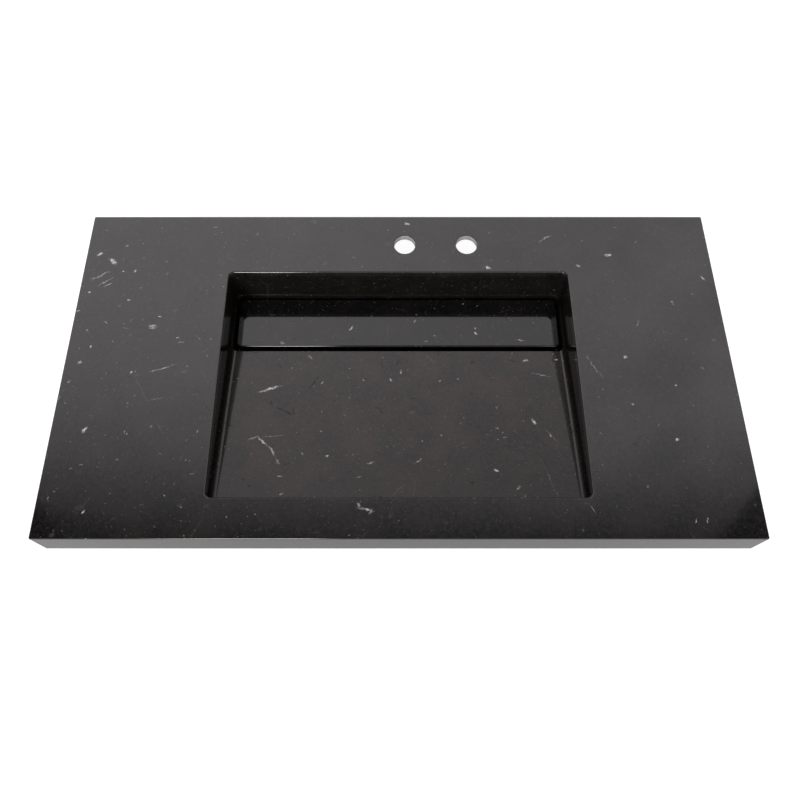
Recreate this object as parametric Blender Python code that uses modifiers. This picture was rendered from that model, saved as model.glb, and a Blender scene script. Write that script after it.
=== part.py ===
"""A vanity top of black marble-effect sheet with an integral ramp basin and a lift-out drain cover.

Metres, +Z up, +X to the right and +Y to the wall. The origin is in the middle of the front rail's underside,
so z = 0 is the plane that the top rests on. The basin's bowl and its drain hang below that plane.
"""

import math

import bmesh
import bpy
from mathutils import Vector

# Sheet, rails and bonds
SHEET_THICKNESS = 0.012
RAIL_THICKNESS = 0.018
BOND_GAP = 0.0003
EDGE_EASE = 0.0015
APRON_CORNER_RADIUS = 0.0025
CUT_OVERRUN = 0.006

# Basin opening
OPENING_WIDTH = 0.546
OPENING_DEPTH = 0.366
OPENING_EASE = 0.002

# Bowl
BOWL_WALL = 0.010
FLANGE_WIDTH = 0.012
FLANGE_THICKNESS = 0.008
COVE_RADIUS = 0.008
CORNER_BEYOND_COVE = 0.002
FRONT_WALL_DEPTH = 0.035
RAMP_FALL = 0.042

# Drain trough behind the ramp
TROUGH_LENGTH = 0.101
TROUGH_INSET = 0.0018
TROUGH_DROP = 0.024
TROUGH_FLOOR_FALL = 0.004
TROUGH_LIP_EASE = 0.0015
TROUGH_COVE_SHARE = 0.7

# Deck round the opening
SIDE_DECK = 0.235
RAIL_TO_FLANGE = 0.0057
TAP_HOLE_TO_OPENING = 0.0535
TAP_HOLE_TO_BACK = 0.0555
EDGE_HEIGHT = 0.0635

# Tap holes
TAP_HOLE_DIAMETER = 0.035
TAP_HOLE_SPACING = 0.1016
FIRST_TAP_HOLE_X = 0.011
TAP_HOLE_EASE = 0.001

# Notch in the back pieces behind the tap holes
NOTCH_BEYOND_HOLE = 0.0135
RAIL_OVER_NOTCH = 0.010
STRIP_NOTCH_HEIGHT = 0.014

# Bridges beside the bowl
BRIDGE_TO_FLANGE = 0.012

# Drain cover, its spacers and its bumpers
COVER_SIDE_GAP = 0.0047
COVER_FRONT_GAP = 0.008
COVER_BACK_GAP = 0.0045
COVER_DROP = 0.001
COVER_CORNER_RADIUS = 0.008
COVER_EASE = 0.002
SPACER_WIDTH = 0.018
SPACER_SETBACK = 0.008
SPACER_TO_END = 0.060
BUMPER_DIAMETER = 0.011
BUMPER_HEIGHT = 0.0035
BUMPER_TO_SPACER_END = 0.010
BUMPER_TAPER = 0.0008

# Drain fitting
SHANK_RADIUS = 0.0205
DRAIN_HOLE_CLEARANCE = 0.0015
THROAT_WALL = 0.0043
THROAT_DEPTH = 0.0034
GRID_LEDGE = 0.0022
SHANK_LENGTH = 0.052
DRAIN_FLANGE_WIDTH = 0.0085
DRAIN_FLANGE_THICKNESS = 0.0022
SEAL_THICKNESS = 0.0014
SEAL_SETBACK = 0.001
RECESS_CLEARANCE = 0.0015
RECESS_DEPTH = 0.0035
GRID_THICKNESS = 0.0016
GRID_HOLE_RADIUS = 0.0022
GRID_RING_SHARES = (0.36, 0.72)
GRID_RING_HOLES = (6, 12)
CONE_WASHER_WIDTH = 0.0095
CONE_WASHER_HEIGHT = 0.008
CONE_WASHER_NOSE = 0.002
CONE_WASHER_TAPER = 0.002
FRICTION_WASHER_WIDTH = 0.008
FRICTION_WASHER_THICKNESS = 0.0012
NUT_WIDTH_BEYOND_SHANK = 0.009
NUT_HEIGHT = 0.010
NUT_CHAMFER = 0.0012
PIPE_WALL = 0.0013
PIPE_LENGTH = 0.120
PIPE_INSERTION = 0.018
PIPE_CLEARANCE = 0.0003

# Facets
CORNER_SEGMENTS = 7
COVE_SEGMENTS = 6
EASE_SEGMENTS = 3
ROUND_SEGMENTS = 40
SMALL_ROUND_SEGMENTS = 12
SHARP_ANGLE = math.radians(35)

# Worked out from the sizes above
CORNER_RADIUS = COVE_RADIUS + CORNER_BEYOND_COVE
BOWL_REACH = BOWL_WALL + FLANGE_WIDTH
FRONT_LEDGE = SHEET_THICKNESS + BOND_GAP + RAIL_THICKNESS + RAIL_TO_FLANGE + BOWL_REACH
BACK_DECK = TAP_HOLE_TO_OPENING + TAP_HOLE_TO_BACK
TOP_WIDTH = OPENING_WIDTH + 2 * SIDE_DECK
TOP_DEPTH = FRONT_LEDGE + OPENING_DEPTH + BACK_DECK

RIGHT_EDGE = TOP_WIDTH / 2
FRONT_EDGE = -SHEET_THICKNESS - BOND_GAP - RAIL_THICKNESS / 2
BACK_EDGE = FRONT_EDGE + TOP_DEPTH
OPENING_RIGHT = OPENING_WIDTH / 2
OPENING_BACK = BACK_EDGE - BACK_DECK
OPENING_FRONT = OPENING_BACK - OPENING_DEPTH

DECK_TOP = EDGE_HEIGHT
DECK_UNDERSIDE = DECK_TOP - SHEET_THICKNESS
UNDER_DECK = DECK_UNDERSIDE - BOND_GAP

TROUGH_RIGHT = OPENING_RIGHT - TROUGH_INSET
TROUGH_BACK = OPENING_BACK - TROUGH_INSET
TROUGH_FRONT = TROUGH_BACK - TROUGH_LENGTH
TROUGH_CORNER_RADIUS = CORNER_RADIUS - TROUGH_INSET
TROUGH_COVE_RADIUS = TROUGH_CORNER_RADIUS * TROUGH_COVE_SHARE
RAMP_END = DECK_TOP - FRONT_WALL_DEPTH - RAMP_FALL
RAMP_SLOPE = RAMP_FALL / (TROUGH_FRONT - OPENING_FRONT)
RAMP_LEVEL_START = TROUGH_FRONT + TROUGH_LIP_EASE
TROUGH_FLOOR_HIGH = RAMP_END - TROUGH_DROP
TROUGH_FLOOR_LOW = TROUGH_FLOOR_HIGH - TROUGH_FLOOR_FALL

COVER_RIGHT = TROUGH_RIGHT - COVER_SIDE_GAP
COVER_FRONT = TROUGH_FRONT + COVER_FRONT_GAP
COVER_BACK = TROUGH_BACK - COVER_BACK_GAP
COVER_TOP = RAMP_END - COVER_DROP
COVER_UNDERSIDE = COVER_TOP - SHEET_THICKNESS

DRAIN_Y = (TROUGH_FRONT + TROUGH_BACK) / 2
DRAIN_HOLE_RADIUS = SHANK_RADIUS + DRAIN_HOLE_CLEARANCE
DRAIN_FLANGE_RADIUS = SHANK_RADIUS + DRAIN_FLANGE_WIDTH
RECESS_RADIUS = DRAIN_FLANGE_RADIUS + RECESS_CLEARANCE
RECESS_FLOOR = TROUGH_FLOOR_LOW - RECESS_DEPTH
BOWL_UNDERSIDE = TROUGH_FLOOR_LOW - BOWL_WALL
THROAT_RADIUS = SHANK_RADIUS - THROAT_WALL
PIPE_RADIUS = THROAT_RADIUS - PIPE_CLEARANCE


def clear_scene():
    for thing in list(bpy.data.objects):
        bpy.data.objects.remove(thing, do_unlink=True)


def new_collection(name):
    collection = bpy.data.collections.new(name)
    bpy.context.scene.collection.children.link(collection)
    return collection


def finish_material(name, colour, roughness, metallic=0.0):
    material = bpy.data.materials.new(name)
    material.use_nodes = True
    material.diffuse_color = (*colour, 1)
    shader = material.node_tree.nodes["Principled BSDF"]
    shader.inputs["Base Color"].default_value = (*colour, 1)
    shader.inputs["Roughness"].default_value = roughness
    shader.inputs["Metallic"].default_value = metallic
    return material


def add_piece(name, bm, material, collection, place=(0, 0, 0)):
    """Turns a bmesh into a named object, shaded smooth where its faces bend gently."""
    bmesh.ops.recalc_face_normals(bm, faces=bm.faces)
    mesh = bpy.data.meshes.new(name)
    bm.to_mesh(mesh)
    bm.free()
    if material:
        mesh.materials.append(material)
    mesh.shade_smooth()
    mesh.set_sharp_from_angle(angle=SHARP_ANGLE)
    piece = bpy.data.objects.new(name, mesh)
    piece.location = place
    collection.objects.link(piece)
    return piece


def add_cutter(name, bm, collection, place=(0, 0, 0)):
    cutter = add_piece(name, bm, None, collection, place)
    cutter.hide_render = True
    cutter.display_type = "WIRE"
    return cutter


def combine(piece, other, operation):
    change = piece.modifiers.new(other.name, "BOOLEAN")
    change.object = other
    change.operation = operation
    change.solver = "EXACT"


def arc(centre_x, centre_y, radius, start, sweep, segments):
    for step in range(segments + 1):
        angle = start + sweep * step / segments
        yield centre_x + radius * math.cos(angle), centre_y + radius * math.sin(angle)


def rounded_rectangle(right, front, back, radius, side_ys=(), end_xs=()):
    """A rectangle about x = 0 with round corners, anticlockwise from above, with extra points on its sides."""
    reach, quarter = right - radius, math.pi / 2
    points = list(arc(reach, front + radius, radius, -quarter, quarter, CORNER_SEGMENTS))
    points += [(right, y) for y in sorted(side_ys)]
    points += arc(reach, back - radius, radius, 0, quarter, CORNER_SEGMENTS)
    points += [(x, back) for x in sorted(end_xs, reverse=True)]
    points += arc(-reach, back - radius, radius, quarter, quarter, CORNER_SEGMENTS)
    points += [(-right, y) for y in sorted(side_ys, reverse=True)]
    points += arc(-reach, front + radius, radius, 2 * quarter, quarter, CORNER_SEGMENTS)
    points += [(x, front) for x in sorted(end_xs)]
    return points


def loft(rings):
    """A closed solid through rings of equal counts. A ring is its outline with a height, or a rule for its height."""
    bm = bmesh.new()
    loops = []
    for outline, height in rings:
        rule = height if callable(height) else (lambda x, y, level=height: level)
        loops.append([bm.verts.new((x, y, rule(x, y))) for x, y in outline])
    for upper, lower in zip(loops, loops[1:]):
        for i, vert in enumerate(upper):
            j = (i + 1) % len(upper)
            bm.faces.new((vert, lower[i], lower[j], upper[j]))
    bm.faces.new(loops[0])
    bm.faces.new(reversed(loops[-1]))
    return bm, loops


def split_cap(bm, loop, axis, place):
    """Cuts the last ring's cap straight across at a place along the axis, so that both parts of it are flat."""
    ends = sorted(loop, key=lambda vert: abs(vert.co[axis] - place))[:2]
    bmesh.ops.connect_verts(bm, verts=ends)


def round_edges(bm, edges, radius, segments):
    bmesh.ops.bevel(
        bm,
        geom=list(edges),
        affect="EDGES",
        offset=radius,
        segments=segments,
        profile=0.5,
        clamp_overlap=False,
        material=-1,
    )


def edges_between(verts):
    chosen = set(verts)
    return {edge for vert in verts for edge in vert.link_edges if edge.other_vert(vert) in chosen}


def loop_edges(bm, loop):
    return [bm.edges.get((vert, loop[(i + 1) % len(loop)])) for i, vert in enumerate(loop)]


def block(width, depth, height):
    """A box centred over the origin in X and Y, standing on z = 0."""
    bm = bmesh.new()
    bmesh.ops.create_cube(bm, size=1)
    bmesh.ops.scale(bm, vec=(width, depth, height), verts=bm.verts)
    bmesh.ops.translate(bm, vec=(0, 0, height / 2), verts=bm.verts)
    return bm


def cylinder(radius, foot, top, segments=ROUND_SEGMENTS, foot_radius=None):
    bm = bmesh.new()
    bmesh.ops.create_cone(
        bm,
        cap_ends=True,
        segments=segments,
        radius1=radius if foot_radius is None else foot_radius,
        radius2=radius,
        depth=top - foot,
    )
    bmesh.ops.translate(bm, vec=(0, 0, (top + foot) / 2), verts=bm.verts)
    return bm


def turned(name, profile, material, collection, place):
    """A piece turned about Z from a profile of (radius, height), listed down its outer side first."""
    bm = bmesh.new()
    verts = [bm.verts.new((radius, 0, height)) for radius, height in profile]
    for start, end in zip(verts, verts[1:]):
        bm.edges.new((start, end))
    if profile[0][0] and profile[-1][0]:
        bm.edges.new((verts[-1], verts[0]))
    mesh = bpy.data.meshes.new(name)
    bm.to_mesh(mesh)
    bm.free()
    if material:
        mesh.materials.append(material)
    piece = bpy.data.objects.new(name, mesh)
    piece.location = place
    collection.objects.link(piece)
    screw = piece.modifiers.new("turn", "SCREW")
    screw.steps = ROUND_SEGMENTS
    screw.render_steps = ROUND_SEGMENTS
    screw.use_merge_vertices = True
    screw.merge_threshold = BOND_GAP / 10
    screw.use_smooth_shade = True
    return piece


def ring_profile(inner, outer, foot, top):
    return [(outer, top), (outer, foot), (inner, foot), (inner, top)]


def floor_of_basin(thickness=0.0):
    """The rule for the basin floor's height: down the ramp, then level, and this much lower for an outer side."""
    lower = thickness * math.sqrt(1 + RAMP_SLOPE**2)

    def height(x, y):
        run = min(y, RAMP_LEVEL_START) - TROUGH_FRONT
        return RAMP_END - run * RAMP_SLOPE - lower

    return height


def floor_of_trough(x, y):
    """The trough floor's height, which falls from both ends to the middle."""
    return TROUGH_FLOOR_LOW + TROUGH_FLOOR_FALL * abs(x) / TROUGH_RIGHT


def basin_outline(outset=0.0):
    return rounded_rectangle(
        OPENING_RIGHT + outset,
        OPENING_FRONT - outset,
        OPENING_BACK + outset,
        CORNER_RADIUS + outset,
        side_ys=(RAMP_LEVEL_START,),
    )


def trough_outline(outset=0.0, front_outset=0.0):
    return rounded_rectangle(
        TROUGH_RIGHT + outset,
        TROUGH_FRONT - outset - front_outset,
        TROUGH_BACK + outset,
        TROUGH_CORNER_RADIUS + outset,
        end_xs=(0,),
    )


def eased_rim(ease):
    """Steps down a rounded rim, as pairs: how far out it is, and how far below the top."""
    for step in range(EASE_SEGMENTS, -1, -1):
        angle = math.pi / 2 * step / EASE_SEGMENTS
        yield ease * (1 - math.cos(angle)), ease * (1 - math.sin(angle))


def make_tap_hole_cutter(number, place, cutters):
    radius, above = TAP_HOLE_DIAMETER / 2, SHEET_THICKNESS / 2
    profile = [(0, above), (radius + TAP_HOLE_EASE, above)]
    profile += [(radius + out, -drop) for out, drop in eased_rim(TAP_HOLE_EASE)]
    profile += [(radius, -SHEET_THICKNESS - above), (0, -SHEET_THICKNESS - above)]
    cutter = turned(f"tap_hole_{number}", profile, None, cutters, place)
    cutter.hide_render = True
    cutter.display_type = "WIRE"
    return cutter


def make_deck(stone, parts, cutters):
    """The sheet, with its upper edges eased, the basin opening and the tap holes."""
    bm = block(TOP_WIDTH, TOP_DEPTH, SHEET_THICKNESS)
    uprights = [edge for edge in bm.edges if edge.verts[0].co.xy == edge.verts[1].co.xy]
    round_edges(bm, uprights, APRON_CORNER_RADIUS, 2 * EASE_SEGMENTS)
    highest = [vert for vert in bm.verts if vert.co.z > SHEET_THICKNESS / 2]
    round_edges(bm, edges_between(highest), EDGE_EASE, EASE_SEGMENTS)
    deck = add_piece("deck_sheet", bm, stone, parts, (0, (FRONT_EDGE + BACK_EDGE) / 2, DECK_UNDERSIDE))
    rings = [(basin_outline(OPENING_EASE), DECK_TOP + CUT_OVERRUN)]
    rings += [(basin_outline(out), DECK_TOP - drop) for out, drop in eased_rim(OPENING_EASE)]
    rings += [(basin_outline(), DECK_UNDERSIDE - CUT_OVERRUN)]
    combine(deck, add_cutter("basin_opening", loft(rings)[0], cutters), "DIFFERENCE")
    for number in range(2):
        place = (FIRST_TAP_HOLE_X + number * TAP_HOLE_SPACING, BACK_EDGE - TAP_HOLE_TO_BACK, DECK_TOP)
        combine(deck, make_tap_hole_cutter(number + 1, place, cutters), "DIFFERENCE")


def apron_outline(length, inset=0.0):
    """A strip's outline from above, its face towards -Y, with half of a round corner at each mitred end."""
    reach = length / 2 - APRON_CORNER_RADIUS - BOND_GAP / 2
    back = SHEET_THICKNESS
    corner = arc(reach, APRON_CORNER_RADIUS, APRON_CORNER_RADIUS - inset, -math.pi / 2, math.pi / 4, EASE_SEGMENTS)
    right = list(corner) + [(reach + APRON_CORNER_RADIUS - back, back)]
    return right + [(-x, y) for x, y in reversed(right)]


def make_apron(name, length, turn, middle, stone, parts):
    """A strip of sheet on edge below the deck, with its lower outer edge eased, turned to its side of the top."""
    rings = [(apron_outline(length), UNDER_DECK)]
    rings += [(apron_outline(length, out), drop) for out, drop in reversed(list(eased_rim(EDGE_EASE)))]
    apron = add_piece(name, loft(rings)[0], stone, parts, middle)
    apron.rotation_euler.z = turn
    return apron


def cut_tap_notch(piece, thickness, y, height, cutters):
    """Opens the lower edge of a back piece behind the tap holes, for the tap's nuts and hoses."""
    half_width = TAP_HOLE_SPACING / 2 + TAP_HOLE_DIAMETER / 2 + NOTCH_BEYOND_HOLE
    bm = block(2 * half_width, thickness + 2 * CUT_OVERRUN, height + CUT_OVERRUN)
    place = (FIRST_TAP_HOLE_X + TAP_HOLE_SPACING / 2, y, -CUT_OVERRUN)
    combine(piece, add_cutter(piece.name + "_notch", bm, cutters, place), "DIFFERENCE")


def make_aprons(stone, parts, cutters):
    middle_y = (FRONT_EDGE + BACK_EDGE) / 2
    for name, length, turn, middle in (
        ("front_apron", TOP_WIDTH, 0, (0, FRONT_EDGE, 0)),
        ("right_apron", TOP_DEPTH, math.pi / 2, (RIGHT_EDGE, middle_y, 0)),
        ("left_apron", TOP_DEPTH, -math.pi / 2, (-RIGHT_EDGE, middle_y, 0)),
    ):
        make_apron(name, length, turn, middle, stone, parts)
    strip = make_apron("back_strip", TOP_WIDTH, math.pi, (0, BACK_EDGE, 0), stone, parts)
    cut_tap_notch(strip, SHEET_THICKNESS, BACK_EDGE - SHEET_THICKNESS / 2, STRIP_NOTCH_HEIGHT, cutters)


def make_rails(plywood, parts, cutters):
    """Rails on edge behind the aprons, and two bridges from front to back beside the bowl."""
    inside = SHEET_THICKNESS + BOND_GAP
    middle_y = (FRONT_EDGE + BACK_EDGE) / 2
    long_rail = TOP_WIDTH - 2 * inside
    rail_to_rail = TOP_DEPTH - 2 * (inside + RAIL_THICKNESS + BOND_GAP)
    to_rail = inside + RAIL_THICKNESS / 2
    to_bridge = OPENING_RIGHT + BOWL_REACH + BRIDGE_TO_FLANGE + RAIL_THICKNESS / 2
    for name, width, depth, x, y in (
        ("front_rail", long_rail, RAIL_THICKNESS, 0, FRONT_EDGE + to_rail),
        ("back_rail", long_rail, RAIL_THICKNESS, 0, BACK_EDGE - to_rail),
        ("left_rail", RAIL_THICKNESS, rail_to_rail, to_rail - RIGHT_EDGE, middle_y),
        ("right_rail", RAIL_THICKNESS, rail_to_rail, RIGHT_EDGE - to_rail, middle_y),
        ("left_bridge", RAIL_THICKNESS, rail_to_rail, -to_bridge, middle_y),
        ("right_bridge", RAIL_THICKNESS, rail_to_rail, to_bridge, middle_y),
    ):
        rail = add_piece(name, block(width, depth, UNDER_DECK), plywood, parts, (x, y, 0))
        if name == "back_rail":
            cut_tap_notch(rail, depth, y, UNDER_DECK - RAIL_OVER_NOTCH, cutters)


def make_bowl(stone, parts, cutters):
    """The moulded bowl: a flanged shell with a sloping floor, coved all round, and a drain trough behind the ramp."""
    flange_under = UNDER_DECK - FLANGE_THICKNESS
    bm, loops = loft(
        [
            (basin_outline(BOWL_REACH), UNDER_DECK),
            (basin_outline(BOWL_REACH), flange_under),
            (basin_outline(BOWL_WALL), flange_under),
            (basin_outline(BOWL_WALL), floor_of_basin(BOWL_WALL)),
        ]
    )
    split_cap(bm, loops[-1], 1, RAMP_LEVEL_START)
    round_edges(bm, loop_edges(bm, loops[-1]), COVE_RADIUS + BOWL_WALL, COVE_SEGMENTS)
    bowl = add_piece("basin_bowl", bm, stone, parts)

    outer = trough_outline(BOWL_WALL)
    bm, loops = loft([(outer, RAMP_END), (outer, BOWL_UNDERSIDE)])
    round_edges(bm, loop_edges(bm, loops[-1]), TROUGH_COVE_RADIUS + BOWL_WALL, COVE_SEGMENTS)
    combine(bowl, add_cutter("trough_outside", bm, cutters), "UNION")

    bm, loops = loft([(basin_outline(), UNDER_DECK + CUT_OVERRUN), (basin_outline(), floor_of_basin())])
    split_cap(bm, loops[-1], 1, RAMP_LEVEL_START)
    round_edges(bm, loop_edges(bm, loops[-1]), COVE_RADIUS, COVE_SEGMENTS)
    combine(bowl, add_cutter("basin_inside", bm, cutters), "DIFFERENCE")

    rings = [(trough_outline(front_outset=TROUGH_LIP_EASE), DECK_UNDERSIDE)]
    rings += [(trough_outline(front_outset=out), RAMP_END - drop) for out, drop in eased_rim(TROUGH_LIP_EASE)]
    rings += [(trough_outline(), floor_of_trough)]
    bm, loops = loft(rings)
    split_cap(bm, loops[-1], 0, 0)
    round_edges(bm, loop_edges(bm, loops[-1]), TROUGH_COVE_RADIUS, COVE_SEGMENTS)
    combine(bowl, add_cutter("trough_inside", bm, cutters), "DIFFERENCE")

    drain_axis = (0, DRAIN_Y, 0)
    bm = cylinder(RECESS_RADIUS, RECESS_FLOOR, RAMP_END)
    combine(bowl, add_cutter("drain_recess", bm, cutters, drain_axis), "DIFFERENCE")
    bm = cylinder(DRAIN_HOLE_RADIUS, BOWL_UNDERSIDE - CUT_OVERRUN, RAMP_END)
    combine(bowl, add_cutter("drain_hole", bm, cutters, drain_axis), "DIFFERENCE")


def make_cover(stone, rubber, parts, cutters):
    """The lift-out cover and what is bonded under it, all carried by an empty in the middle of the cover's top."""
    lift = bpy.data.objects.new("cover_lift", None)
    middle_y = (COVER_FRONT + COVER_BACK) / 2
    lift.location = (0, middle_y, COVER_TOP)
    parts.objects.link(lift)
    half_depth = (COVER_BACK - COVER_FRONT) / 2
    outline = rounded_rectangle(COVER_RIGHT, -half_depth, half_depth, COVER_CORNER_RADIUS)
    bm, loops = loft([(outline, 0), (outline, -SHEET_THICKNESS)])
    upper = loop_edges(bm, loops[0])
    lower = loop_edges(bm, loops[1])
    round_edges(bm, upper, COVER_EASE, EASE_SEGMENTS)
    round_edges(bm, [edge for edge in lower if edge.is_valid], EDGE_EASE, EASE_SEGMENTS)
    pieces = [add_piece("drain_cover", bm, stone, parts)]

    spacer_top = -SHEET_THICKNESS - BOND_GAP
    spacer_x = COVER_RIGHT - SPACER_TO_END
    spacer_depth = 2 * (half_depth - SPACER_SETBACK)
    floor_here = floor_of_trough(spacer_x + BUMPER_DIAMETER / 2, 0) - COVER_TOP
    bumper_foot = floor_here + BOND_GAP
    spacer_foot = bumper_foot + BUMPER_HEIGHT + BOND_GAP
    bumper_y = spacer_depth / 2 - BUMPER_TO_SPACER_END
    for side, sign in (("left", -1), ("right", 1)):
        x = sign * spacer_x
        bm = block(SPACER_WIDTH, spacer_depth, spacer_top - spacer_foot)
        pieces.append(add_piece(f"{side}_spacer", bm, stone, parts, (x, 0, spacer_foot)))
        for end, y in (("front", -bumper_y), ("back", bumper_y)):
            foot_radius = BUMPER_DIAMETER / 2 - BUMPER_TAPER
            bm = cylinder(BUMPER_DIAMETER / 2, 0, BUMPER_HEIGHT, SMALL_ROUND_SEGMENTS, foot_radius)
            pieces.append(add_piece(f"bumper_{end}_{side}", bm, rubber, parts, (x, y, bumper_foot)))
    for piece in pieces:
        piece.parent = lift


def make_drain(metal, rubber, fibre, parts, cutters):
    """The drain fitting: a flanged body clamped to the trough's floor from below, with its grid and its pipe."""
    place = (0, DRAIN_Y, RECESS_FLOOR)
    seal_foot = BOND_GAP
    flange_foot = seal_foot + SEAL_THICKNESS + BOND_GAP
    flange_top = flange_foot + DRAIN_FLANGE_THICKNESS
    ease = DRAIN_FLANGE_THICKNESS / 2
    grid_seat = flange_top - THROAT_DEPTH
    shank_foot = flange_foot - SHANK_LENGTH
    grid_radius = THROAT_RADIUS + GRID_LEDGE
    body = [
        (DRAIN_FLANGE_RADIUS - DRAIN_FLANGE_WIDTH / 2, flange_top),
        (DRAIN_FLANGE_RADIUS - ease, flange_top - ease / 2),
        (DRAIN_FLANGE_RADIUS, flange_foot + ease / 2),
        (DRAIN_FLANGE_RADIUS, flange_foot),
        (SHANK_RADIUS, flange_foot),
        (SHANK_RADIUS, shank_foot),
        (THROAT_RADIUS, shank_foot),
        (THROAT_RADIUS, grid_seat),
        (grid_radius, grid_seat),
        (grid_radius, flange_top),
    ]
    turned("drain_body", body, metal, parts, place)

    seal_outer = DRAIN_FLANGE_RADIUS - SEAL_SETBACK
    seal_inner = DRAIN_HOLE_RADIUS
    seal_top = seal_foot + SEAL_THICKNESS
    turned("flange_seal", ring_profile(seal_inner, seal_outer, seal_foot, seal_top), rubber, parts, place)

    washer_top = BOWL_UNDERSIDE - RECESS_FLOOR - BOND_GAP
    washer_foot = washer_top - CONE_WASHER_HEIGHT
    washer_inner = SHANK_RADIUS + BOND_GAP
    washer_outer = DRAIN_HOLE_RADIUS + CONE_WASHER_WIDTH
    nose_radius = DRAIN_HOLE_RADIUS - BOND_GAP
    cone_washer = [
        (nose_radius, washer_top + CONE_WASHER_NOSE),
        (nose_radius, washer_top),
        (washer_outer - CONE_WASHER_TAPER, washer_top),
        (washer_outer, washer_foot),
        (washer_inner, washer_foot),
        (washer_inner, washer_top + CONE_WASHER_NOSE),
    ]
    turned("cone_washer", cone_washer, rubber, parts, place)

    friction_top = washer_foot - BOND_GAP
    friction_foot = friction_top - FRICTION_WASHER_THICKNESS
    friction_outer = washer_inner + FRICTION_WASHER_WIDTH
    friction = ring_profile(washer_inner, friction_outer, friction_foot, friction_top)
    turned("friction_washer", friction, fibre, parts, place)

    make_lock_nut(friction_foot - BOND_GAP, washer_inner, metal, parts, cutters, place)

    pipe_top = shank_foot + PIPE_INSERTION
    pipe = ring_profile(PIPE_RADIUS - PIPE_WALL, PIPE_RADIUS, pipe_top - PIPE_LENGTH, pipe_top)
    turned("tailpiece", pipe, metal, parts, place)

    make_grid(grid_seat + BOND_GAP, grid_radius - BOND_GAP, metal, parts, cutters, place)


def make_lock_nut(top, bore, metal, parts, cutters, place):
    """A hexagonal nut with chamfered corners, screwed up the shank against the washers."""
    flat = SHANK_RADIUS + NUT_WIDTH_BEYOND_SHANK
    corner = flat / math.cos(math.pi / 6)
    foot = top - NUT_HEIGHT
    bm = cylinder(corner, foot, top, segments=6)
    lowest = [vert for vert in bm.verts if vert.co.z < foot + NUT_CHAMFER]
    round_edges(bm, edges_between(lowest), NUT_CHAMFER, 1)
    nut = add_piece("lock_nut", bm, metal, parts, place)
    bm = cylinder(bore, foot - CUT_OVERRUN, top + CUT_OVERRUN)
    combine(nut, add_cutter("nut_bore", bm, cutters, place), "DIFFERENCE")


def make_grid(foot, radius, metal, parts, cutters, place):
    """A disc in the drain's throat, with a hole in the middle and rings of holes round it."""
    bm = cylinder(radius, foot, foot + GRID_THICKNESS)
    grid = add_piece("strainer_grid", bm, metal, parts, place)
    spots = [(0, 0)]
    for share, count in zip(GRID_RING_SHARES, GRID_RING_HOLES):
        spots += list(arc(0, 0, radius * share, 0, 2 * math.pi, count))[:-1]
    for number, (x, y) in enumerate(spots, 1):
        overrun = GRID_THICKNESS
        bm = cylinder(GRID_HOLE_RADIUS, foot - overrun, foot + GRID_THICKNESS + overrun, SMALL_ROUND_SEGMENTS)
        spot = Vector(place) + Vector((x, y, 0))
        combine(grid, add_cutter(f"grid_hole_{number}", bm, cutters, spot), "DIFFERENCE")


def main():
    clear_scene()
    parts = new_collection("vanity_top")
    cutters = new_collection("cutters")
    stone = finish_material("polished_black_marble_effect", (0.012, 0.011, 0.011), 0.06)
    plywood = finish_material("birch_plywood", (0.52, 0.36, 0.2), 0.65)
    rubber = finish_material("black_rubber", (0.02, 0.02, 0.02), 0.7)
    fibre = finish_material("fibre_washer", (0.3, 0.06, 0.04), 0.8)
    metal = finish_material("chromed_brass", (0.75, 0.75, 0.76), 0.12, metallic=1.0)
    make_deck(stone, parts, cutters)
    make_aprons(stone, parts, cutters)
    make_rails(plywood, parts, cutters)
    make_bowl(stone, parts, cutters)
    make_cover(stone, rubber, parts, cutters)
    make_drain(metal, rubber, fibre, parts, cutters)
    bpy.context.view_layer.update()


main()
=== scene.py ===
"""The looks of the vanity top: polished black marble-effect sheet and bowl, drain cover, rails and drain.

Metres, +Z up, +X to the right and +Y to the wall. The origin is the middle of the front rail's underside.
"""

import math

import bmesh
import bpy
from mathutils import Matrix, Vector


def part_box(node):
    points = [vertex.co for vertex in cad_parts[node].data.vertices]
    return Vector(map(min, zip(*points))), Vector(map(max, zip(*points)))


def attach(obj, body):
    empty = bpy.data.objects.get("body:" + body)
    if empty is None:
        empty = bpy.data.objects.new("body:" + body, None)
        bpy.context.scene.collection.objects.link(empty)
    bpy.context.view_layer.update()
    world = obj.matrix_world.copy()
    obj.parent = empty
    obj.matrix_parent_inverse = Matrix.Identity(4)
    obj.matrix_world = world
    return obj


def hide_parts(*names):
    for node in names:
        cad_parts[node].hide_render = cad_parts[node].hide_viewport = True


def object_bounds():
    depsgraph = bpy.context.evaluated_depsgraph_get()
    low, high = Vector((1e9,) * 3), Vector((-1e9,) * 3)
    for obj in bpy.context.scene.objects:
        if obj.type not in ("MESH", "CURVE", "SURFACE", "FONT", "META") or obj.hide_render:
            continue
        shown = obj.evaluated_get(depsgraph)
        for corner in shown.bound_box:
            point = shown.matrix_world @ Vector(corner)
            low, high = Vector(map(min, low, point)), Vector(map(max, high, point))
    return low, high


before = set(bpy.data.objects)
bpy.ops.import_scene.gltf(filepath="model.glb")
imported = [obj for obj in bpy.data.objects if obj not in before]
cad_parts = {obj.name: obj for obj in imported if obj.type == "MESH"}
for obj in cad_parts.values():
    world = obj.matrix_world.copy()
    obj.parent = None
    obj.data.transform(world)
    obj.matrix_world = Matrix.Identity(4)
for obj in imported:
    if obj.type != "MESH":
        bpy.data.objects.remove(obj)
cad_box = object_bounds()

# Sheet, rails and bonds
SHEET_THICKNESS = 0.012
RAIL_THICKNESS = 0.018
BOND_GAP = 0.0003
EDGE_EASE = 0.0015
OUTER_CORNER_RADIUS = 0.0025
TOP_WIDTH = 1.016
TOP_DEPTH = 0.533
DECK_TOP = 0.0635

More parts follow.
